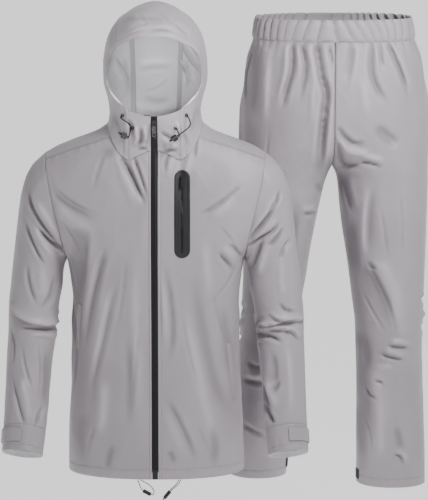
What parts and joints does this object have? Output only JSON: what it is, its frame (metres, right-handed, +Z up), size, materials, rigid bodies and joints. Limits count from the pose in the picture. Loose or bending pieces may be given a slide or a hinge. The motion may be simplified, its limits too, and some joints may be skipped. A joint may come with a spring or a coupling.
{
  "type": "rain suit: hooded zip jacket and elasticated trousers",
  "caption": "Light rain suit filled out with no wearer: a hooded jacket with a full front zip, a welded chest pocket and strapped cuffs, with loose pull-on trousers beside it.",
  "frame": {"origin": "on the middle plane of the jacket at the height where the neck meets the shoulders, midway between its front and back, where the wearer carries it", "axes": "+X to the wearer's left, which is the viewer's right, +Y to the wearer's back, +Z up; both garments face -Y"},
  "size_m": [0.9308, 0.46, 1.0851],
  "materials": {
    "grey_cloth": "plain woven shell cloth, thin and slightly shiny, warm grey",
    "black_tape": "black woven zip tape and welded film",
    "black_plastic": "black moulded plastic",
    "black_cord": "black braided elastic cord"
  },
  "bodies": {
    "suit": {"jacket_front_right": "grey_cloth", "jacket_front_left": "grey_cloth", "jacket_back": "grey_cloth", "jacket_yoke": "grey_cloth", "sleeve_right": "grey_cloth", "cuff_right": "grey_cloth", "sleeve_left": "grey_cloth", "cuff_left": "grey_cloth", "hood_side_right": "grey_cloth", "chin_right": "grey_cloth", "hood_side_left": "grey_cloth", "chin_left": "grey_cloth", "hood_centre": "grey_cloth", "trouser_front_right": "grey_cloth", "trouser_back_right": "grey_cloth", "trouser_front_left": "grey_cloth", "trouser_back_left": "grey_cloth", "waistband": "grey_cloth", "zip": "black_tape", "zip_box": "black_plastic", "zip_slider": "black_plastic", "pocket_panel": "black_tape", "pocket_zip": "black_tape", "pocket_slider": "black_plastic", "hand_pocket_right": "grey_cloth", "hand_pocket_left": "grey_cloth", "cuff_strap_right": "grey_cloth", "cuff_strap_left": "grey_cloth", "hem_tab_left": "black_tape", "hem_tab_right": "black_tape", "hood_cord_right": "black_cord", "hood_cord_left": "black_cord", "hem_cord_right": "black_cord", "hem_cord_left": "black_cord", "hood_lock_right": "black_plastic", "hood_lock_left": "black_plastic", "hem_lock_right": "black_plastic", "hem_lock_left": "black_plastic", "eyelet_upper_right": "black_plastic", "eyelet_lower_right": "black_plastic", "eyelet_upper_left": "black_plastic", "eyelet_lower_left": "black_plastic"},
    "main_zip_pull": {"zip_pull": "black_plastic"},
    "pocket_zip_pull": {"pocket_pull": "black_plastic"}
  },
  "joints": [
    {"name": "main_pull_turn", "type": "hinge", "parent": "suit", "child": "main_zip_pull", "pos_m": [0, -0.11139, 0.01522], "axis": [-1, 0, 0], "range_deg": [0, 150]},
    {"name": "pocket_pull_turn", "type": "hinge", "parent": "suit", "child": "pocket_zip_pull", "pos_m": [0.05874, -0.10948, -0.09417], "axis": [-1, 0, 0], "range_deg": [0, 150]}
  ]
}
